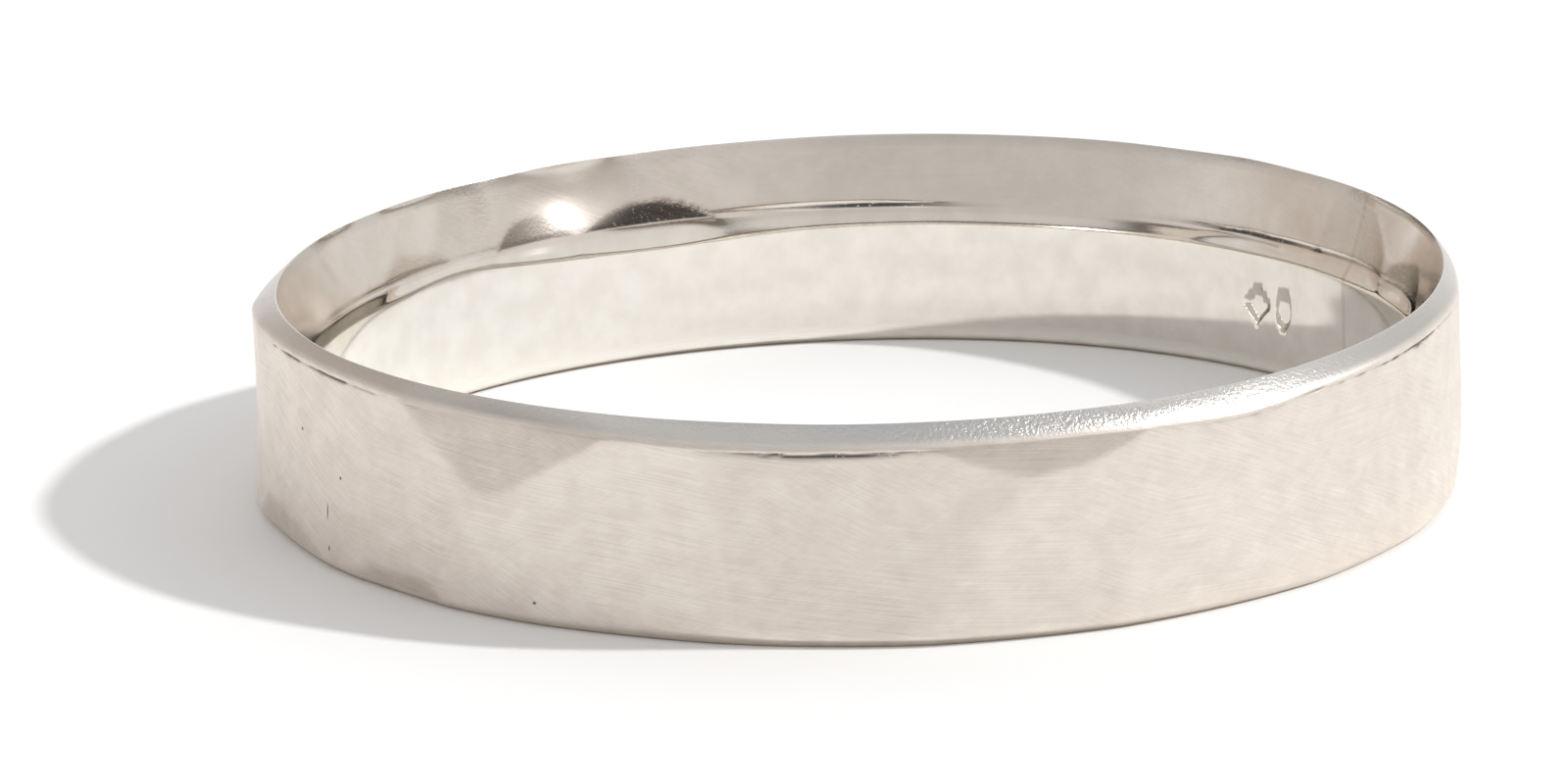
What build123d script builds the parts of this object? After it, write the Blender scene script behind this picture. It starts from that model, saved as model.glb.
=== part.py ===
from build123d import *
from math import atan2, cos, degrees, radians, sin
import os

# A hand-hammered wedding band, US ring size 10, in millimetres. A strip of pale gold alloy is bent
# into a C round a mandrel, and a film of hard solder closes its butt joint. The bore stays round.
# The outer face is hammered all round into small flats, and the upper rim is filed to a knife edge.
# The origin lies on the bore's axis, in the plane of the lower rim. +Z points to the knife edge, and
# azimuths are in degrees about +Z, from +X.

# Driving dimensions
BORE_RADIUS = 9.92
WALL_THICKNESS = 0.92
BAND_HEIGHT = 3.92
KNIFE_EDGE_RADIUS = 10.45
KNIFE_EDGE_HEIGHT = 3.88
OUTER_CHAMFER_HEIGHT = 3.55
BEVEL_FOOT_RADIUS = 10.0
BEVEL_FOOT_HEIGHT = 2.6
BORE_TOP_HEIGHT = 2.3
BORE_LEAD_IN = 0.12
LOWER_CHAMFER = 0.16

# Hammering: the wall swells and thins in three long lobes, and each blow leaves one flat
LOBE_COUNT = 3
LOBE_HEIGHT = 0.17
LOBE_AZIMUTH = 54.0
BLOW_COUNT = 30
BLOW_LEAN = 1.4
BLOW_DEPTH = 0.03
# Broad blows at the front, each as azimuth, height, lean of its outward side above level, and depth
BROAD_BLOWS = [
    (-150.0, 2.4, 3.0, 0.05),
    (-148.0, 0.7, -5.0, 0.07),
    (-133.0, 3.0, 5.0, 0.05),
    (-114.0, 1.7, -1.0, 0.12),
    (-92.0, 1.9, 0.5, 0.05),
    (-77.0, 3.2, 7.0, 0.05),
    (-75.0, 1.2, -1.0, 0.10),
    (-56.0, 1.9, 1.0, 0.12),
    (-33.0, 1.8, -1.0, 0.10),
]

# The butt joint, and two blank punch marks inside the bore beside it
JOINT_AZIMUTH = 28.0
JOINT_WIDTH = 0.12
MARK_HEIGHT = 1.35
MARK_DEPTH = 0.07
LOZENGE_AZIMUTH = 43.0
LOZENGE_SIDE = 0.5
OVAL_AZIMUTH = 39.0
OVAL_RADII = (0.22, 0.36)

OUTER_RADIUS = BORE_RADIUS + WALL_THICKNESS
BLANK_RADIUS = OUTER_RADIUS + 3 * LOBE_HEIGHT
CHAMFER_RUN = OUTER_RADIUS - KNIFE_EDGE_RADIUS
CHAMFER_DROP = KNIFE_EDGE_HEIGHT - OUTER_CHAMFER_HEIGHT
CHAMFER_LEAN = degrees(atan2(CHAMFER_RUN, CHAMFER_DROP))
BEVEL_RUN = KNIFE_EDGE_RADIUS - BEVEL_FOOT_RADIUS
BEVEL_TOP_RADIUS = BEVEL_FOOT_RADIUS + BEVEL_RUN * (BAND_HEIGHT - BEVEL_FOOT_HEIGHT) / (
    KNIFE_EDGE_HEIGHT - BEVEL_FOOT_HEIGHT
)


def wall_radius(azimuth):
    """The outer wall's radius before the blows: round, with long shallow lobes."""
    return OUTER_RADIUS + LOBE_HEIGHT * cos(radians(LOBE_COUNT * (azimuth - LOBE_AZIMUTH)))


def cut_flat(azimuth, radius, height, lean):
    """Takes off what lies outside a plane whose outward side leans up from level."""
    turn = radians(azimuth)
    rise = radians(lean)
    foot = (radius * cos(turn), radius * sin(turn), height)
    outward = (cos(turn) * cos(rise), sin(turn) * cos(rise), sin(rise))
    split(bisect_by=Plane(origin=foot, z_dir=outward), keep=Keep.BOTTOM)


def bore_plane(azimuth):
    """A plane upright in the bore's wall, facing out from the axis."""
    turn = radians(azimuth)
    foot = (BORE_RADIUS * cos(turn), BORE_RADIUS * sin(turn), MARK_HEIGHT)
    return Plane(origin=foot, x_dir=(-sin(turn), cos(turn), 0), z_dir=(cos(turn), sin(turn), 0))


os.makedirs("parts", exist_ok=True)

# The whole ring, before its joint is told apart
with BuildPart() as ring:
    with BuildSketch(Plane.XZ):
        with BuildLine():
            Polyline(
                (BORE_RADIUS + BORE_LEAD_IN, 0),
                (BLANK_RADIUS, 0),
                (BLANK_RADIUS, BAND_HEIGHT),
                (BEVEL_TOP_RADIUS, BAND_HEIGHT),
                (BEVEL_FOOT_RADIUS, BEVEL_FOOT_HEIGHT),
                (BORE_RADIUS, BORE_TOP_HEIGHT),
                (BORE_RADIUS, BORE_LEAD_IN),
            )
            RadiusArc((BORE_RADIUS, BORE_LEAD_IN), (BORE_RADIUS + BORE_LEAD_IN, 0), -BORE_LEAD_IN)
        make_face()
    revolve(axis=Axis.Z)
    for blow in range(BLOW_COUNT):
        blow_azimuth = 360 * blow / BLOW_COUNT
        struck_radius = wall_radius(blow_azimuth) - BLOW_DEPTH * sin(2.4 * blow)
        cut_flat(blow_azimuth, struck_radius, BAND_HEIGHT / 2, BLOW_LEAN * sin(1.7 * blow))
        cut_flat(blow_azimuth, wall_radius(blow_azimuth), OUTER_CHAMFER_HEIGHT, CHAMFER_LEAN)
        cut_flat(blow_azimuth, wall_radius(blow_azimuth) - LOWER_CHAMFER, 0, -45)
    for broad_azimuth, broad_height, broad_lean, broad_depth in BROAD_BLOWS:
        cut_flat(broad_azimuth, wall_radius(broad_azimuth) - broad_depth, broad_height, broad_lean)
    with BuildSketch(bore_plane(LOZENGE_AZIMUTH)):
        Rectangle(LOZENGE_SIDE, LOZENGE_SIDE, rotation=45)
    extrude(amount=MARK_DEPTH, both=True, mode=Mode.SUBTRACT)
    with BuildSketch(bore_plane(OVAL_AZIMUTH)):
        Ellipse(*OVAL_RADII)
    extrude(amount=MARK_DEPTH, both=True, mode=Mode.SUBTRACT)

# The parallel-sided gap between the strip's two ends
with BuildPart() as joint_gap:
    with BuildSketch(Plane.XY.rotated((0, 0, JOINT_AZIMUTH))):
        with Locations((OUTER_RADIUS, 0)):
            Rectangle(4 * WALL_THICKNESS, JOINT_WIDTH)
    extrude(amount=BAND_HEIGHT)

with BuildPart() as band:
    add(ring.part)
    add(joint_gap.part, mode=Mode.SUBTRACT)
band.part.label = "band"
export_step(band.part, "parts/band.step")

with BuildPart() as solder_seam:
    add(ring.part)
    add(joint_gap.part, mode=Mode.INTERSECT)
solder_seam.part.label = "solder_seam"
export_step(solder_seam.part, "parts/solder_seam.step")
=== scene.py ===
import bpy
import numpy as np
from mathutils import Matrix, Vector


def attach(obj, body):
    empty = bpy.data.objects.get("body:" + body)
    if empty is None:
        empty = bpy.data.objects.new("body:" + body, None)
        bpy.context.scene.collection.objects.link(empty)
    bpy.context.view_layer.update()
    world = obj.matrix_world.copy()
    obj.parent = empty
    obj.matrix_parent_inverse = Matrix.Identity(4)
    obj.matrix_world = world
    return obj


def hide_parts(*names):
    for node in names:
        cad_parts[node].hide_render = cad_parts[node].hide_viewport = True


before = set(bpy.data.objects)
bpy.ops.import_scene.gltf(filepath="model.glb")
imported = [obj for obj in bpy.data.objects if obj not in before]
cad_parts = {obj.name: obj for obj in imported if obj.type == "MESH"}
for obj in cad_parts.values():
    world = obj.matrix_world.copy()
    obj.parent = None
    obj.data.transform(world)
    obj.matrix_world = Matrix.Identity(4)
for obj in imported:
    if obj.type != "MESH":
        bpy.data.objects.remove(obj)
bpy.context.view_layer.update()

MM = 0.001

# ---------------------------------------------------------------------------------------------
# Sizes of the ring, in millimetres, as in the design. Bearings are in degrees round the ring from
# its front (-Y) towards its right side (+X).
# ---------------------------------------------------------------------------------------------
BORE_RADIUS = 9.92
OUTER_RADIUS = 10.84
KNIFE_EDGE_HEIGHT = 3.88
KNIFE_EDGE_SET_BACK = 0.39
KNIFE_EDGE_LIFT = 0.02
KNIFE_EDGE_UNEVENNESS = 0.008
OUTER_CHAMFER_HEIGHT = 3.55
CHAMFER_FOOT_UNEVENNESS = 0.010
CHAMFER_BARREL = 0.008
CHAMFER_PEBBLES = 0.004
BEVEL_FOOT_RADIUS = 10.0
BEVEL_FOOT_HEIGHT = 2.6
BEVEL_RIPPLE = 0.010
BORE_TOP_HEIGHT = 2.3
BORE_LEAD_IN = 0.12
LOWER_CHAMFER = 0.16
LOBE_HEIGHT = 0.17
LOBE_BEARING = 24.0
# The knife edge follows this share of the lobes.
EDGE_SHARE_OF_LOBES = 0.45
JOINT_BEARING = 118.0
JOINT_WIDTH = 0.12
CHAMFER_LEAN = np.arctan2(KNIFE_EDGE_HEIGHT - OUTER_CHAMFER_HEIGHT, KNIFE_EDGE_SET_BACK)

MARK_HEIGHT = 1.35
MARK_DEPTH = 0.07
LOZENGE_BEARING = 133.0
LOZENGE_REACH = 0.354
LOZENGE_EDGE = 0.06
OVAL_BEARING = 129.0
OVAL_RADII = (0.22, 0.36)

# The bore's foot flares out by this much, and the flare is gone at this height.
BORE_FLARE = 0.09
BORE_FLARE_HEIGHT = 0.85
# The bore is wavy by this much, below this height.
BORE_WAVE = 0.004
BORE_WAVE_TOP = 2.1

# Columns of the grid along the strip, and the fine steps that place them.
COLUMNS = 1000
FINE_STEPS = 20001
RANDOM_SEED = 11

# How widely neighbouring blows run into each other.
WALL_BLEND = 0.003
BEVEL_BLEND = 0.004

# Blows of the planishing hammer that show at the front. Each is its bearing, its height, how far it
# slopes along the ring and up the wall (rise over run), how much it flattens the curve, its depth,
# and how much painted shade darkens its face, standing in for the darker reflection of the shadowed
# floor or the dim room that its tilt shows.
FRONT_BLOWS = [
    (-84.0, 2.2, 0.00, 0.00, 0.30, 0.070, 0.0),
    (-71.5, 0.35, 0.00, -0.10, 0.50, 0.100, 1.0),
    (-61.0, 2.4, -0.01, -0.01, 0.30, 0.080, 0.0),
    (-53.5, 0.1, 0.00, -0.12, 0.80, 0.110, 1.0),
    (-41.0, 3.0, 0.00, 0.13, 0.30, 0.110, 0.6),
    (-45.0, 0.9, 0.06, 0.05, 0.20, 0.020, 0.3),
    (-24.0, 1.6, 0.00, 0.01, 0.30, 0.080, 0.0),
    (-2.0, 1.9, 0.00, 0.02, 0.20, 0.080, 0.2),
    (12.0, 3.4, 0.00, 0.14, 0.30, 0.080, 0.9),
    (14.0, 1.2, -0.02, -0.02, 0.30, 0.070, 0.1),
    (34.0, 1.8, 0.00, -0.05, 0.30, 0.080, 0.0),
    (56.0, 1.9, 0.02, -0.02, 0.30, 0.070, 0.1),
    (79.0, 1.9, 0.00, -0.02, 0.30, 0.060, 0.0),
    (90.0, 0.0, 0.00, -0.13, 0.30, 0.150, 0.1),
]

# Flats on the inner bevel, told in the same way. A slope up raises the flat's face to the sky. The
# last number is painted shade for the dark reflections on the flats; past a limit it is painted
# near-black.
BEVEL_BLOWS = [
    (127.0, 3.3, 0.00, -0.04, 1.0, 0.030, 0.1),
    (116.5, 3.5, -0.02, -0.08, 1.0, 0.050, 0.6),
    (107.0, 3.2, 0.00, 0.17, 0.8, 0.050, 0.0),
    (103.5, 3.0, 0.00, -0.10, 1.2, 0.045, 1.2),
    (123.0, 2.64, 0.00, -0.16, 1.0, 0.032, 1.7),
    (134.0, 2.60, 0.00, -0.20, 0.5, 0.024, 1.5),
    (203.5, 2.6, 0.00, -0.12, 0.6, 0.055, 1.9),
    (217.5, 2.8, 0.00, -0.13, 1.5, 0.040, 1.35),
    (225.0, 3.6, -0.04, -0.02, 1.0, 0.030, 0.4),
    (234.0, 3.3, 0.02, 0.06, 1.0, 0.040, 0.0),
    (235.0, 2.6, 0.00, -0.06, 0.6, 0.040, 0.5),
    (248.0, 3.2, 0.02, 0.05, 1.0, 0.030, 0.0),
]

# Stretches of the ring where something swells, or dips where the last number is negative. Each is its
# bearing, its width in degrees and its strength. Widths across the section are in places, as counted
# by section_rows.
CHAMFER_FOOT_SWELLS = [(-66, 18, 0.05), (70, 12, 0.04), (-10, 14, -0.04), (37, 7, -0.09)]
KNIFE_EDGE_SWELLS = [(137, 5, 0.02)]
LEDGE_SWELLS = [(203, 14, -0.18), (229, 8, 0.15)]
CHAMFER_BARREL_SWELLS = [(28, 8, 0.045)]
CREASES = [(184, 10, 0.9), (125, 14, 0.9), (240, 14, 0.35)]
CREASE_DEPTH = 0.04
BEVEL_FOOT_WIDTH = 0.03
# The nick under the chamfer is cut in as a groove; the dark line along it is painted shade.
FILE_NICKS_AND_SHADE = [(-65, 13, 1.0), (-4, 9, 0.7), (56, 18, 0.8)]
FILE_NICK_DEPTH = 0.03
FILE_NICK_WIDTH = 0.009
# Stretches of near-black painted shade along the crease at the bevel's foot.
FOOT_CREASE_PAINTED_SHADE = [(179, 9, 1.0), (128, 13, 1.2), (238, 10, 0.5), (214, 6, 0.8)]
# Painted shade on the bore's right half, standing in for its dimmer reflection of the shadowed floor.
BORE_PAINTED_SHADE = [(148, 60, 1.0)]
# Extra painted shade on the rim past its highlight, that dims the lamp's glare there.
RIM_PAINTED_SHADE = [(60, 16, 0.3)]
COARSE_FILING = [(20, 24, 0.65)]


def smooth_step(value, low, high):
    """Zero below low, one above high, and the cubic 3t^2 - 2t^3 between them."""
    t = np.clip((value - low) / (high - low), 0, 1)
    return t * t * (3 - 2 * t)


def arc_from(bearing, centre):
    """Degrees round the ring from a centre, the short way."""
    return (bearing - centre + 180) % 360 - 180


def swells(bearing, stretches):
    """The sum of smooth humps round the ring: strength * exp(-(turn / width)^2), in degrees."""
    total = 0
    for centre, width, strength in stretches:
        total = total + strength * np.exp(-((arc_from(bearing, centre) / width) ** 2))
    return total


def hump_across(place, middle, width):
    """A narrow hump of height one across the section: exp(-((place - middle) / width)^2)."""
    return np.exp(-(((place - middle) / width) ** 2))


def wall_radius(bearing):
    """The outer wall before the blows: the mean radius plus three long cosine lobes."""
    return OUTER_RADIUS + LOBE_HEIGHT * np.cos(np.radians(3 * (bearing - LOBE_BEARING)))


def scattered_blows(first, steps, pitch, rows):
    """Blows on a jittered double row round a stretch of the ring that no list tells one by one."""
    chance = np.random.default_rng(RANDOM_SEED)
    blows = []
    for step in range(steps):
        for row, height in enumerate(rows):
            blows.append((
                first + pitch * (step + row / 2) + chance.uniform(-3, 3),
                height + chance.uniform(-0.4, 0.4),
                chance.uniform(-0.04, 0.04),
                chance.uniform(-0.07, 0.07),
                0.3,
                chance.uniform(0.03, 0.07),
                chance.uniform(0.0, 0.5),
            ))
    return blows


WALL_BLOWS = np.array(FRONT_BLOWS + scattered_blows(first=96, steps=12, pitch=15.2, rows=(1.0, 2.8)))


def struck(bearing, height, blows, width):
    """How far the blows push a surface in (negative), and how much painted shade they put on it.

    Each blow is a shallow dish: less its depth, plus a slope along and up from its centre, plus its
    distance from the centre squared, over twice the ring's radius and times its flatness. The surface
    is the smooth minimum of the dishes and zero: minus the width, times the logarithm of the sum of
    exp(-dish / width). Its painted shade is the mean of theirs, weighted by the terms of that sum."""
    total = np.ones(np.broadcast(bearing, height).shape)
    shade = np.zeros_like(total)
    for centre, middle, along, up, flatness, depth, darkness in blows:
        arc = np.radians(arc_from(bearing, centre)) * OUTER_RADIUS
        rise = height - middle
        dish = -depth + along * arc - up * rise + flatness * (arc**2 + rise**2) / (2 * OUTER_RADIUS)
        share = np.exp(-np.clip(dish, -1, 1) / width)
        total += share
        shade += share * darkness
    return -width * np.log(total), shade / total


def hammered_radius(bearing, height):
    """The outer wall after the blows."""
    return wall_radius(bearing) + struck(bearing, height, WALL_BLOWS, WALL_BLEND)[0]


def chamfer_foot(bearing):
    """Height of the outer chamfer's foot: level, with filed humps, dips and a fine unevenness."""
    file_steps = CHAMFER_FOOT_UNEVENNESS * ripple(bearing, seed=5, waves=9, finest=60)
    return OUTER_CHAMFER_HEIGHT + swells(bearing, CHAMFER_FOOT_SWELLS) + file_steps


def section_corners(bearing):
    """The ring's section at each bearing, as its corners in order, each a (radius, height) pair. The
    knife edge follows the wall's lobes by less than half, and stands a little uneven."""
    low = hammered_radius(bearing, np.full_like(bearing, LOWER_CHAMFER))
    high_at = chamfer_foot(bearing)
    high = hammered_radius(bearing, high_at)
    lobes = EDGE_SHARE_OF_LOBES * (wall_radius(bearing) - OUTER_RADIUS)
    edge_radius = OUTER_RADIUS - KNIFE_EDGE_SET_BACK + lobes
    uneven = KNIFE_EDGE_LIFT + KNIFE_EDGE_UNEVENNESS * ripple(bearing, seed=6, waves=7, finest=30)
    edge_height = KNIFE_EDGE_HEIGHT + uneven + swells(bearing, KNIFE_EDGE_SWELLS)
    bore_top = BORE_TOP_HEIGHT + swells(bearing, LEDGE_SWELLS)
    full = np.ones_like(bearing)
    return [
        (BORE_RADIUS * full, BORE_LEAD_IN * full),
        ((BORE_RADIUS + BORE_LEAD_IN) * full, 0 * full),
        (low - LOWER_CHAMFER, 0 * full),
        (low, LOWER_CHAMFER * full),
        (high, high_at),
        (edge_radius, edge_height),
        (BEVEL_FOOT_RADIUS * full, BEVEL_FOOT_HEIGHT * full),
        (BORE_RADIUS * full, bore_top),
    ]


# For each corner of the section: how far its round reaches along its two sides, the rows in the
# round, the rows in the side that follows it, and how those rows crowd towards that side's end or
# its middle.
ROUNDS = [0.05, 0.05, 0.03, 0.05, 0.07, 0.035, 0.06, 0.06]
ROUND_ROWS = [3, 3, 3, 4, 5, 6, 4, 4]
SIDE_ROWS = [1, 1, 1, 28, 4, 14, 2, 16]
CROWDING = [1, 1, 1, 1.3, 1, 1.3, 1, 1]
MIDDLING = [0, 0, 0, 0, 0, 0, 0, 0.6]
# A row's place counts one for each corner, and a round takes this share of it.
ROUND_SHARE = 0.1
WALL_SIDE = 3
CHAMFER_SIDE = 4
BEVEL_SIDE = 5
BORE_SIDE = 7
# Places on the section: where the flare under the ring ends, the nick on the wall's top, and the
# crease and the painted shade at the bevel's foot.
FLARE_END = 1.4
FILE_NICK_PLACE = WALL_SIDE + 0.952
CREASE_PLACE = BEVEL_SIDE + 0.965
FOOT_CREASE_SHADE_PLACE = BEVEL_SIDE + 0.97
# The deepest dent in the bevel.
DENT_BEARING = 212.5
DENT_HEIGHT = 3.28
DENT_REACH = (0.90, 0.60)
DENT_DEPTH = 0.20
DENT_DULLING = 0.9
# How dark the painted shade in a file nick is, and how dark a blow's painted shade on the bevel may
# be before it turns to painted near-black.
FILE_NICK_PAINTED_SHADE = 1.8
PAINTED_REFLECTION_ABOVE = 0.9
# How polished, and how filed, the metal is: places round the section, then the values there.
POLISH = (
    [0, 1, 2, 2.95, 4.0, 4.1, 5.0, 5.1, 5.9, 6.1, 8],
    [1, 0.5, 0.2, 0, 0, 0.40, 0.45, 0.6, 0.7, 0.95, 1],
)
# The filed share also sets how much of the grey, partly painted shade, covers the metal.
FILED = (
    [0, 4.0, 4.1, 4.95, 5.2, 6.2, 6.4, 8],
    [0, 0, 1, 1, 0.12, 0.12, 0, 0],
)


def section_rows(corners):
    """Carries the corners into rows. A corner is a quadratic Bezier between a point on each of its
    sides, and a side is steps from one round to the next, crowded as one minus a power of what is
    left, plus a sine that draws steps to the middle. Also gives each row's place: the side it lies
    on, plus how far along it is."""
    count = len(corners)
    points = [np.stack(corner) for corner in corners]
    ahead = []
    for here in range(count):
        step = points[(here + 1) % count] - points[here]
        ahead.append(step / np.linalg.norm(step, axis=0))
    rows = []
    places = []
    for here in range(count):
        after = (here + 1) % count
        start = points[here] - ROUNDS[here] * ahead[here - 1]
        end = points[here] + ROUNDS[here] * ahead[here]
        for t in np.linspace(0, 1, ROUND_ROWS[here]):
            rows.append((1 - t) ** 2 * start + 2 * t * (1 - t) * points[here] + t**2 * end)
            places.append(here + ROUND_SHARE * (t - 0.5))
        away = points[after] - ROUNDS[after] * ahead[here]
        for even in np.linspace(0, 1, SIDE_ROWS[here] + 2)[1:-1]:
            t = 1 - (1 - even) ** CROWDING[here]
            t += MIDDLING[here] * np.sin(2 * np.pi * even) / (2 * np.pi)
            rows.append((1 - t) * end + t * away)
            places.append(here + ROUND_SHARE / 2 + (1 - ROUND_SHARE) * t)
    rows = np.array(rows)
    return rows[:, 0], rows[:, 1], np.array(places)[:, None]


def ripple(bearing, seed, waves, finest, along=0):
    """Smooth unevenness: the sum of sine waves of random slant and phase. They make from three turns
    up to the finest number round the ring, and their heights fall as they get finer."""
    chance = np.random.default_rng(seed)
    total = 0
    for number in range(waves):
        turns = 3 + (finest - 3) * (number / waves) ** 1.5
        phase = chance.uniform(0, 2 * np.pi)
        slant = chance.uniform(-2.5, 2.5)
        height = 1 / (1 + number)
        total = total + height * np.sin(np.round(turns) * np.radians(bearing) + slant * along + phase)
    return total


def on_side(place, side):
    """How far a row is along a side, from 0 to 1, held at the ends elsewhere."""
    return np.clip(place - side, 0, 1)


def in_dent(bearing, height):
    """The bevel's dent, one in its middle: exp(-(arc / half length)^2 - (rise / half height)^2)."""
    arc = np.radians(bearing - DENT_BEARING) * OUTER_RADIUS
    return np.exp(-((arc / DENT_REACH[0]) ** 2) - ((height - DENT_HEIGHT) / DENT_REACH[1]) ** 2)


def bevel_shape(bearing, height, place):
    """Flats, ripples and one deep dent on the long inner bevel, and a crease at its foot. Each is a
    push out from the axis. All but the narrow crease fade to nothing at the knife edge and over the
    ledge below. Also gives the flats' painted shade."""
    along = on_side(place, BEVEL_SIDE)
    inside = smooth_step(along, 0.0, 0.12) * (1 - on_side(place, BEVEL_SIDE + 1))
    depth, shade = struck(bearing, height, BEVEL_BLOWS, BEVEL_BLEND)
    ripples = BEVEL_RIPPLE * ripple(bearing, seed=3, waves=9, finest=40, along=2 * along)
    push = inside * (ripples - depth)
    push += CREASE_DEPTH * swells(bearing, CREASES) * hump_across(place, CREASE_PLACE, BEVEL_FOOT_WIDTH)
    push += DENT_DEPTH * inside * in_dent(bearing, height)
    return push, inside * shade * (1 - in_dent(bearing, height))


def wall_shape(bearing, height, place):
    """The outer wall between its two edges: hammered, with a fine crease under the chamfer. Gives the
    push out from the straight side between the edges, and the painted shade of the blows."""
    low = hammered_radius(bearing, LOWER_CHAMFER + 0 * height)
    top = chamfer_foot(bearing)
    high = hammered_radius(bearing, top)
    level = np.clip(height, LOWER_CHAMFER, top)
    share = (level - LOWER_CHAMFER) / (top - LOWER_CHAMFER)
    push = hammered_radius(bearing, level) - (low + (high - low) * share)
    push -= FILE_NICK_DEPTH * under_chamfer(bearing, place)
    on_wall = (place > WALL_SIDE - 0.06) & (place < CHAMFER_SIDE + 0.06)
    return np.where(on_wall, push, 0), struck(bearing, level, WALL_BLOWS, WALL_BLEND)[1]


def chamfer_shape(bearing, place):
    """The outer chamfer is barrelled across, as a parabola, and pebbled by the file. Gives how far it
    stands proud of the straight chamfer."""
    across = on_side(place, CHAMFER_SIDE)
    barrel = (CHAMFER_BARREL + swells(bearing, CHAMFER_BARREL_SWELLS)) * 4 * across * (1 - across)
    pebbles = ripple(bearing, seed=7, waves=12, finest=160, along=9 * across)
    return barrel + CHAMFER_PEBBLES * across * (1 - across) * pebbles


def under_chamfer(bearing, place):
    """The file's groove under the chamfer: a narrow hump that wanders along the wall's top, strong in
    three stretches. It sets the groove's depth and the painted shade in it."""
    wander = 0.008 * ripple(bearing, seed=13, waves=9, finest=220)
    return swells(bearing, FILE_NICKS_AND_SHADE) * hump_across(place, FILE_NICK_PLACE + wander, FILE_NICK_WIDTH)


def at_bevel_foot(bearing, place):
    """Painted shade in the bevel's foot crease: a narrow, ragged hump along it, in stretches."""
    ragged = 1 + 0.4 * ripple(bearing, seed=9, waves=6, finest=60)
    return swells(bearing, FOOT_CREASE_PAINTED_SHADE) * ragged * hump_across(place, FOOT_CREASE_SHADE_PLACE, BEVEL_FOOT_WIDTH)


def punch_marks(bearing, height, place):
    """Two blank punches inside the bore, one inside them and zero outside. The lozenge's edge is where
    the distances along and up add to its reach, and the oval's is its ellipse."""
    up = height - MARK_HEIGHT
    along = np.radians(bearing - LOZENGE_BEARING) * BORE_RADIUS
    lozenge = 1 - smooth_step(np.abs(along) + np.abs(up), LOZENGE_REACH - LOZENGE_EDGE, LOZENGE_REACH)
    along = np.radians(bearing - OVAL_BEARING) * BORE_RADIUS
    oval = 1 - smooth_step(np.hypot(along / OVAL_RADII[0], up / OVAL_RADII[1]), 0.8, 1.0)
    return np.where(place > BORE_SIDE, np.maximum(lozenge, oval), 0)


def strip_shares():
    """Steps along the strip from one end to the other, closer at the front and at the marks: the
    inverse of the running sum of how close they are."""
    even = np.linspace(0, 1, FINE_STEPS)
    bearing = JOINT_BEARING + 360 * even
    marks = (LOZENGE_BEARING + OVAL_BEARING) / 2
    close = 1 + 0.35 * (np.cos(np.radians(bearing)) > 0) + swells(bearing, [(marks, 6, 2.0)])
    running = np.cumsum(close) - close[0]
    return np.interp(np.linspace(0, running[-1], COLUMNS), running, even)


def bearings(turn_share, joint_side, radius):
    """The bearing at each share of the way along the strip, or of the way across the joint."""
    half_gap = np.degrees(np.arcsin(JOINT_WIDTH / 2 / radius))
    if joint_side == "strip":
        return JOINT_BEARING + half_gap + (360 - 2 * half_gap) * turn_share
    return JOINT_BEARING + half_gap * (2 * turn_share - 1)


def finish_values(bearing, height, place, wall_shade, bevel_shade):
    """How the metal looks at each point: the painted shade of the blows and of the bore's right half,
    the painted near-black in the groove, the foot crease and on dark bevel flats, and how polished,
    worked by the file and coarsely grained. A bevel blow's painted shade past a limit turns to painted
    near-black."""
    on_bevel = (place > BEVEL_SIDE) & (place < BEVEL_SIDE + 1)
    on_wall = (place > WALL_SIDE) & (place < CHAMFER_SIDE)
    # Painted shade on the bore, strongest on its right half.
    bore_painted_shade = swells(bearing, BORE_PAINTED_SHADE) * (place > BORE_SIDE)
    shade = np.where(on_bevel, bevel_shade, np.where(on_wall, wall_shade, bore_painted_shade))
    # A bevel flat's painted shade past the limit turns to near-black painted reflection.
    painted_dark_reflection = on_bevel * np.clip(bevel_shade - PAINTED_REFLECTION_ABOVE, 0, 1)
    # Painted near-black shade in the file's groove and the bevel's foot crease, plus the flats' painted
    # dark reflection.
    painted_dark = FILE_NICK_PAINTED_SHADE * under_chamfer(bearing, place) + at_bevel_foot(bearing, place) + painted_dark_reflection
    dulled = DENT_DULLING * on_bevel * in_dent(bearing, height) ** 0.4
    filed_and_painted_shade = np.interp(place, FILED[0], FILED[1])
    return {
        "shade": np.clip(shade, 0, 1),
        "painted_dark": np.clip(painted_dark, 0, 1),
        "polish": np.interp(place, POLISH[0], POLISH[1]) * (1 - dulled),
        "filed_and_painted_shade": filed_and_painted_shade * (1 + swells(bearing, RIM_PAINTED_SHADE)),
        "grain": filed_and_painted_shade * (0.35 + swells(bearing, COARSE_FILING)),
    }


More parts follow.
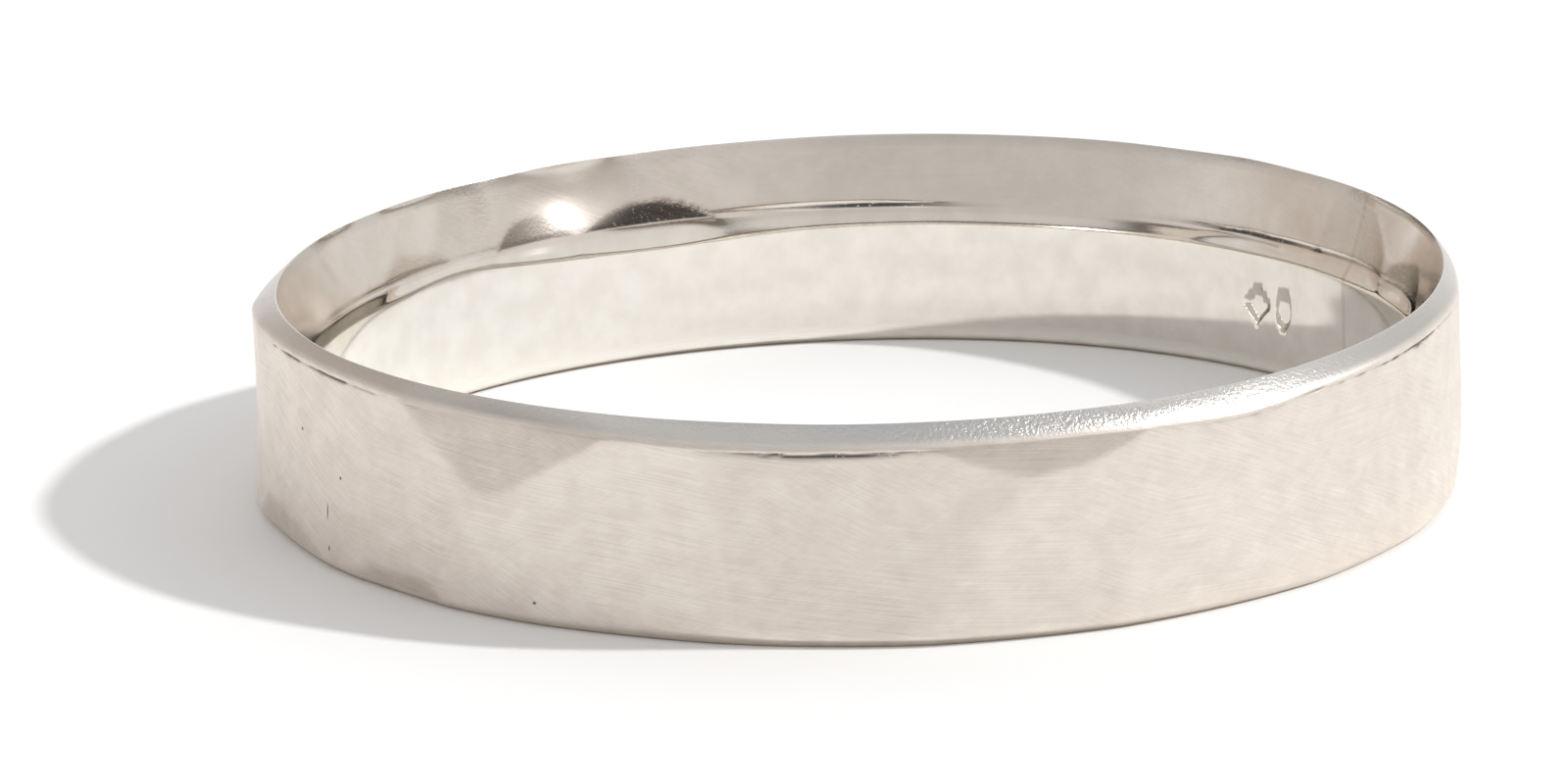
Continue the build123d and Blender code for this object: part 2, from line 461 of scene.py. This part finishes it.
def ring_surface(turn_share, joint_side):
    """The grid's radius, bearing, height and finish. It runs along the strip from one end to the
    other, and round its section. An end stays half the joint's width from the joint's middle, so its
    bearing is the joint's, plus the arcsine of that half width over the radius. The bore's foot flares
    as the square of how far it is below the flare's top."""
    turn_share = turn_share[None, :]
    bearing = bearings(turn_share, joint_side, (BORE_RADIUS + OUTER_RADIUS) / 2)
    radius, height, place = section_rows(section_corners(bearing[0]))
    bearing = np.broadcast_to(bearing, radius.shape)
    place = np.broadcast_to(place, radius.shape)
    wall_push, wall_shade = wall_shape(bearing, height, place)
    bevel_push, bevel_shade = bevel_shape(bearing, height, place)
    proud = chamfer_shape(bearing, place)
    in_bore = place > BORE_SIDE
    flare = BORE_FLARE * np.clip(1 - height / BORE_FLARE_HEIGHT, 0, 1) ** 2
    flare = flare * (in_bore | (place < FLARE_END))
    wave = BORE_WAVE * ripple(bearing, seed=8, waves=6, finest=14, along=3 * height)
    wave = wave * (in_bore & (height < BORE_WAVE_TOP))
    marks = MARK_DEPTH * punch_marks(bearing, height, place)
    radius = radius + wall_push + bevel_push + marks + wave + flare + proud * np.sin(CHAMFER_LEAN)
    height = height + proud * np.cos(CHAMFER_LEAN)
    finish = finish_values(bearing, height, place, wall_shade, bevel_shade)
    return radius, bearings(turn_share, joint_side, radius), height, finish


def grid_mesh(name, radius, bearing, height):
    """A closed skin over the grid: quads between neighbours, joined round the section, and one flat
    face at each end. A point is (radius sin bearing, -radius cos bearing, height)."""
    rows, columns = radius.shape
    turn = np.radians(bearing)
    points = np.stack([radius * np.sin(turn), -radius * np.cos(turn), height], -1).reshape(-1, 3) * MM
    number = np.arange(rows * columns).reshape(rows, columns)
    here = number[:, :-1]
    beside = number[:, 1:]
    quads = np.stack([here, beside, np.roll(beside, -1, 0), np.roll(here, -1, 0)], -1).reshape(-1, 4)
    corners = np.concatenate([quads.ravel(), number[:, 0], number[::-1, -1]])
    starts = np.concatenate([np.arange(len(quads)) * 4, len(quads) * 4 + np.array([0, rows])])
    mesh = bpy.data.meshes.new(name)
    mesh.vertices.add(len(points))
    mesh.vertices.foreach_set("co", points.ravel())
    mesh.loops.add(len(corners))
    mesh.loops.foreach_set("vertex_index", corners)
    mesh.polygons.add(len(starts))
    mesh.polygons.foreach_set("loop_start", starts)
    mesh.update(calc_edges=True)
    ends = np.empty(2 * len(mesh.edges), np.int32)
    mesh.edges.foreach_get("vertices", ends)
    column = ends.reshape(-1, 2) % columns
    sharp = (column == 0).all(1) | (column == columns - 1).all(1)
    mesh.attributes.new("sharp_edge", "BOOLEAN", "EDGE").data.foreach_set("value", sharp)
    run = np.diff(radius, axis=0, prepend=radius[:1])
    rise = np.diff(height, axis=0, prepend=height[:1])
    length = np.cumsum(np.hypot(run, rise), 0)
    chart = np.stack([np.radians(bearing) * OUTER_RADIUS, length], -1).reshape(-1, 2)
    layer = mesh.uv_layers.new(name="strip")
    layer.data.foreach_set("uv", chart[corners].ravel())
    return mesh


def add_attribute(mesh, name, values):
    """Stores one number for each point of the mesh."""
    layer = mesh.attributes.new(name, "FLOAT", "POINT")
    layer.data.foreach_set("value", values.astype(np.float32).ravel())


def add_piece(name, mesh, material):
    """Puts a mesh into the scene, unmoved."""
    piece = bpy.data.objects.new(name, mesh)
    bpy.context.scene.collection.objects.link(piece)
    mesh.materials.append(material)
    return piece


# ---------------------------------------------------------------------------------------------
# Shader maths
# ---------------------------------------------------------------------------------------------
class Wire:
    """One socket of a shader tree. Plus, minus, times and over on wires add Math nodes."""

    def __init__(self, board, socket):
        self.board = board
        self.socket = socket

    def math(self, operation, left, right):
        return self.board.node("ShaderNodeMath", {"operation": operation}, {0: left, 1: right})

    def __add__(self, other):
        return self.math("ADD", self, other)

    def __sub__(self, other):
        return self.math("SUBTRACT", self, other)

    def __mul__(self, other):
        return self.math("MULTIPLY", self, other)

    def __truediv__(self, other):
        return self.math("DIVIDE", self, other)

    def __rsub__(self, other):
        return self.math("SUBTRACT", other, self)

    def __rtruediv__(self, other):
        return self.math("DIVIDE", other, self)

    __radd__ = __add__
    __rmul__ = __mul__

    def ramp(self, low, high, out_low=0.0, out_high=1.0):
        """A smooth step from out_low at low to out_high at high."""
        return self.board.node(
            "ShaderNodeMapRange",
            {"interpolation_type": "SMOOTHSTEP"},
            {"Value": self, "From Min": low, "From Max": high, "To Min": out_low, "To Max": out_high},
        )


class Board:
    """A shader tree that is wired by node(): a node's type, its settings, then its sockets."""

    def __init__(self, tree):
        self.tree = tree
        tree.nodes.clear()

    def node(self, kind, settings=None, sockets=None, out=0):
        made = self.tree.nodes.new(kind)
        for name, value in (settings or {}).items():
            setattr(made, name, value)
        for key, value in (sockets or {}).items():
            if isinstance(value, Wire):
                self.tree.links.new(value.socket, made.inputs[key])
            else:
                made.inputs[key].default_value = value
        return Wire(self, made.outputs[out]) if len(made.outputs) else made

    def attribute(self, name):
        """One of the numbers stored on the mesh."""
        return self.node("ShaderNodeAttribute", {"attribute_name": name}, out="Fac")

    def mix(self, share, low, high):
        """A colour between low and high."""
        return self.node("ShaderNodeMix", {"data_type": "RGBA"}, {0: share, 6: low, 7: high}, out=2)

    def noise(self, at, scale, detail=2.0, roughness=0.5):
        """Smooth random values from 0 to 1."""
        sockets = {"Vector": at, "Scale": scale, "Detail": detail, "Roughness": roughness}
        return self.node("ShaderNodeTexNoise", {"noise_dimensions": "3D"}, sockets)

    def part(self, at, axis):
        """One number of a vector."""
        return self.node("ShaderNodeSeparateXYZ", {}, {0: at}, out=axis)

    def vectors(self, operation, left, right):
        return self.node("ShaderNodeVectorMath", {"operation": operation}, {0: left, 1: right})

    def turned(self, at, angle, scale):
        """A vector turned about Z by an angle in degrees, then stretched."""
        turn = self.node("ShaderNodeMapping", {}, {"Vector": at, "Rotation": (0, 0, np.radians(angle))})
        return self.vectors("MULTIPLY", turn, scale)


# ---------------------------------------------------------------------------------------------
# Finishes
# ---------------------------------------------------------------------------------------------
PALE_GOLD = (0.910, 0.850, 0.785, 1)
BORE_GOLD = (0.950, 0.932, 0.870, 1)
# Mixed in for random scratch and cloud tone, and for the painted shade of the blows and the bore.
DULL_GOLD_AND_PAINTED_SHADE = (0.560, 0.490, 0.430, 1)
# A filed grey, partly painted shade that dims the rim's reflection of the ceiling and the lamp's glare.
FILED_GREY_AND_PAINTED_SHADE = (0.560, 0.545, 0.525, 1)
# Near-black painted shade for the groove, the foot crease and the dark bevel flats; the pits take it
# too.
PAINTED_BLACK = (0.110, 0.100, 0.095, 1)
HARD_SOLDER = (0.800, 0.725, 0.640, 1)
WHITE_PAPER = (0.90, 0.90, 0.90, 1)
# How much of the metal's colour the filed colour hides; this grey is partly painted shade.
FILED_AND_SHADE_COVER = 0.8
# Heights of the relief, in millimetres.
STROKE_RELIEF = 0.0045
PEBBLE_RELIEF = 0.022
SPECK_RELIEF = 0.0004
NICK_RELIEF = 0.01

# Pits in the outer wall: each is its bearing, its height, and its half length and half width.
PITS = [
    (-68.5, 2.33, 0.050, 0.040),
    (-63.1, 1.05, 0.030, 0.200),
    (-60.6, 1.75, 0.045, 0.035),
    (-62.7, 0.40, 0.040, 0.060),
    (-33.2, 0.43, 0.050, 0.035),
    (29.8, 1.32, 0.040, 0.045),
]


def strokes(board, chart, angle, length, width):
    """File and emery strokes: noise stretched along one direction of the strip's own chart."""
    return board.noise(board.turned(chart, angle, (1 / length, 1 / width, 1)), 1.0, 3.0, 0.6)


def pitted(board, chart, place):
    """Dark inside the pits and zero outside. A pit is an ellipse on the strip's arc and height."""
    arc = board.part(chart, "X")
    up = board.part(place, "Z") / MM
    spot = board.node("ShaderNodeCombineXYZ", {}, {0: arc, 1: up})
    total = 0
    for bearing, height, half_length, half_width in PITS:
        centre = (np.radians(bearing % 360) * OUTER_RADIUS, height, 0)
        away = board.vectors("SUBTRACT", spot, centre)
        away = board.vectors("MULTIPLY", away, (1 / half_length, 1 / half_width, 0))
        reach = board.node("ShaderNodeVectorMath", {"operation": "LENGTH"}, {0: away}, out="Value")
        total = reach.ramp(0.3, 1.2, 0.8, 0.0) + total
    return total


def gold_finish(name, outside, inside, dull_and_shade):
    """Satin strokes where the metal isn't polished, with pebbles where the file left them and where
    blows carry painted shade, painted near-black shade in the file's groove, the bevel's foot crease
    and on the dark bevel flats, and near-black in the pits. Polish turns the outside colour into the
    inside one."""
    material = bpy.data.materials.new(name)
    material.use_nodes = True
    board = Board(material.node_tree)
    chart = board.node("ShaderNodeUVMap", {"uv_map": "strip"})
    place = board.node("ShaderNodeTexCoord", out="Object")
    polish = board.attribute("polish")
    grain = board.attribute("grain")
    shade = board.attribute("shade")
    satin = 1 - polish
    painted_dark = board.attribute("painted_dark") + pitted(board, chart, place) * satin.ramp(0.9, 1.0)
    where = board.noise(chart, 0.22, 2.0).ramp(0.42, 0.58)
    slanted = strokes(board, chart, angle=24, length=0.9, width=0.035)
    level = strokes(board, chart, angle=4, length=1.3, width=0.030)
    crossed = strokes(board, chart, angle=-32, length=0.6, width=0.05)
    brushed = slanted * where + level * (1 - where)
    scratches = brushed * 0.75 + crossed * 0.25
    cloud = board.noise(chart, 1.6, 4.0, 0.55)
    speck = board.noise(place, 26 / MM, 2.0, 0.6)
    pebble = board.noise(place, 14 / MM, 3.0, 0.6)
    # The dull colour mixes in for random scratch and cloud tone, and for the painted shade of the blows
    # and the bore's right half.
    tone = scratches.ramp(0.25, 0.75, 0.0, 0.35) * satin
    tone = tone + cloud.ramp(0.3, 0.7, 0.0, 0.18) + shade * 0.40
    bright = board.mix(polish.ramp(0.9, 1.0), outside, inside)
    colour = board.mix(tone, bright, dull_and_shade)
    # A filed grey over the rim and, faintly, the bevel: partly painted shade.
    colour = board.mix(board.attribute("filed_and_painted_shade") * FILED_AND_SHADE_COVER, colour, FILED_GREY_AND_PAINTED_SHADE)
    # Painted near-black shade in the file's groove, the bevel's foot crease and on the dark bevel
    # flats; the pits are near-black too.
    painted_black_share = painted_dark.ramp(0.0, 1.0) * (1 - pebble.ramp(0.60, 0.68) * 0.7)
    colour = board.mix(painted_black_share, colour, PAINTED_BLACK)
    rough = satin * 0.33 + 0.06 + scratches * satin * 0.08 + cloud * 0.03 - grain * 0.02
    pebbled = grain + shade * polish * satin * 1.6
    relief = scratches * satin * STROKE_RELIEF + pebble * pebbled * PEBBLE_RELIEF
    relief = relief + speck * SPECK_RELIEF - painted_dark * NICK_RELIEF
    bump = board.node("ShaderNodeBump", {}, {"Strength": 1.0, "Distance": MM, "Height": relief})
    metal = board.node(
        "ShaderNodeBsdfPrincipled",
        {},
        {"Base Color": colour, "Metallic": 1.0, "Roughness": rough, "Normal": bump},
    )
    board.node("ShaderNodeOutputMaterial", {}, {"Surface": metal})
    return material


def paper_finish():
    """The plain white sheet that the ring stands on."""
    material = bpy.data.materials.new("white paper")
    material.use_nodes = True
    board = Board(material.node_tree)
    paper = board.node("ShaderNodeBsdfDiffuse", {}, {"Color": WHITE_PAPER})
    board.node("ShaderNodeOutputMaterial", {}, {"Surface": paper})
    return material


# ---------------------------------------------------------------------------------------------
# The ring
# ---------------------------------------------------------------------------------------------
def ring_piece(name, turn_share, joint_side, material):
    """One piece of the ring, with its finish told point by point."""
    radius, bearing, height, finish = ring_surface(turn_share, joint_side)
    mesh = grid_mesh(name, radius, bearing, height)
    for layer, values in finish.items():
        add_attribute(mesh, layer, values)
    piece = add_piece(name, mesh, material)
    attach(piece, "root")
    return piece


pale_gold = gold_finish("satin pale gold", PALE_GOLD, BORE_GOLD, DULL_GOLD_AND_PAINTED_SHADE)
solder = gold_finish("hard solder", HARD_SOLDER, HARD_SOLDER, DULL_GOLD_AND_PAINTED_SHADE)
band = ring_piece("hammered_band", strip_shares(), "strip", pale_gold)
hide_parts("band")
seam = ring_piece("solder_line", np.linspace(0, 1, 3), "joint", solder)
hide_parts("solder_seam")


# ---------------------------------------------------------------------------------------------
# Floor, light and camera
# ---------------------------------------------------------------------------------------------
FLOOR_HALF = 1500 * MM
FLOOR_GAP = 0.005 * MM

# The lamp, whose spread is in degrees.
SUN_DIRECTION = (0.776, -0.054, 0.70)
SUN_STRENGTH = 2.0
SUN_SPREAD = 3.5
SUN_COLOUR = (1.0, 0.995, 0.985)

# The room's colours, by where they are seen from the ring.
BACK_WALL = (1.00, 0.99, 0.98, 1)
CEILING = (0.62, 0.64, 0.67, 1)
RIGHT_WALL = (0.76, 0.74, 0.72, 1)
LEFT_WALL = (0.70, 0.68, 0.66, 1)
FRONT_WALL_LEFT = (0.61, 0.59, 0.57, 1)
FRONT_WALL_RIGHT = (0.77, 0.74, 0.72, 1)
UNDER_FRONT_WALL = (0.12, 0.10, 0.09, 1)
CUPBOARD = (0.60, 0.53, 0.48, 1)
WINDOW = (1.15, 1.15, 1.15, 1)

# The lens: where it stands, how it is turned, and its length and film width in millimetres.
LENS_DISTANCE = 20 * OUTER_RADIUS * MM
LENS_ELEVATION = np.radians(15.27)
LENS_TILT = np.radians(14.832)
LENS_BEARING = np.radians(-0.408)
LENS_ROLL = np.radians(-1.68)
LENS_LENGTH = 276.84
FILM_WIDTH = 36


def add_floor():
    """A flat square sheet, just under the lower rim."""
    corners = [(-1, -1), (1, -1), (1, 1), (-1, 1)]
    mesh = bpy.data.meshes.new("floor")
    mesh.from_pydata([(x * FLOOR_HALF, y * FLOOR_HALF, 0) for x, y in corners], [], [(0, 1, 2, 3)])
    floor = add_piece("floor", mesh, paper_finish())
    floor.location = (0, 0, -FLOOR_GAP)


def add_sun():
    """A lamp far away on the right, high up, with a soft edge."""
    lamp = bpy.data.lights.new("window light", "SUN")
    lamp.energy = SUN_STRENGTH
    lamp.angle = np.radians(SUN_SPREAD)
    lamp.color = SUN_COLOUR
    light = bpy.data.objects.new("window light", lamp)
    light.rotation_euler = Vector(SUN_DIRECTION).to_track_quat("Z", "Y").to_euler()
    bpy.context.scene.collection.objects.link(light)


def add_room():
    """The room round the ring, as light from each direction: a cool dim ceiling, white at the back,
    greyer at the sides, a grey front wall that is dark near the floor, a brown cupboard at the back on
    the left, and a bright window high at the back."""
    world = bpy.data.worlds.new("room")
    bpy.context.scene.world = world
    world.use_nodes = True
    board = Board(world.node_tree)
    toward = board.node("ShaderNodeTexCoord", out="Generated")
    side = board.part(toward, "X")
    back = board.part(toward, "Y")
    up = board.part(toward, "Z")
    colour = board.mix(up.ramp(0.72, 0.95), BACK_WALL, CEILING)
    colour = board.mix(side.ramp(0.40, 0.60) * up.ramp(0.80, 0.60), colour, RIGHT_WALL)
    colour = board.mix(side.ramp(-0.50, -0.80) * up.ramp(0.5, 0.3), colour, LEFT_WALL)
    front_wall = board.mix(side.ramp(0.0, 0.6), FRONT_WALL_LEFT, FRONT_WALL_RIGHT)
    colour = board.mix(back.ramp(0.15, -0.5) * up.ramp(0.80, 0.65), colour, front_wall)
    colour = board.mix(back.ramp(0.2, -0.4) * up.ramp(0.22, 0.10), colour, UNDER_FRONT_WALL)
    cupboard = side.ramp(-0.20, -0.45) * back.ramp(-0.1, 0.2)
    cupboard = cupboard * up.ramp(0.95, 0.80) * up.ramp(0.08, 0.22)
    colour = board.mix(cupboard, colour, CUPBOARD)
    window = back.ramp(0.2, 0.45) * up.ramp(0.28, 0.40) * up.ramp(0.88, 0.76)
    window = window * side.ramp(-0.50, -0.30) * side.ramp(0.50, 0.30)
    colour = board.mix(window, colour, WINDOW)
    light = board.node("ShaderNodeBackground", {}, {"Color": colour, "Strength": 1.0})
    board.node("ShaderNodeOutputWorld", {}, {"Surface": light})


def add_camera():
    """A long lens in front of the ring, aimed a little past its middle and rolled a little."""
    lens = bpy.data.cameras.new("camera")
    lens.sensor_width = FILM_WIDTH
    lens.lens = LENS_LENGTH
    lens.clip_start = 0.01
    lens.clip_end = 10
    camera = bpy.data.objects.new("camera", lens)
    level = np.cos(LENS_TILT)
    forward = Vector((np.sin(LENS_BEARING) * level, np.cos(LENS_BEARING) * level, -np.sin(LENS_TILT)))
    right = forward.cross(Vector((0, 0, 1))).normalized()
    up = right.cross(forward)
    across = right * np.cos(LENS_ROLL) + up * np.sin(LENS_ROLL)
    above = up * np.cos(LENS_ROLL) - right * np.sin(LENS_ROLL)
    turn = Matrix((across, above, -forward)).transposed().to_4x4()
    stand = Vector((0, -np.cos(LENS_ELEVATION), np.sin(LENS_ELEVATION))) * LENS_DISTANCE
    camera.matrix_world = Matrix.Translation(stand) @ turn
    bpy.context.scene.collection.objects.link(camera)
    bpy.context.scene.camera = camera


add_floor()
add_sun()
add_room()
add_camera()
bpy.context.scene.view_settings.view_transform = "Standard"
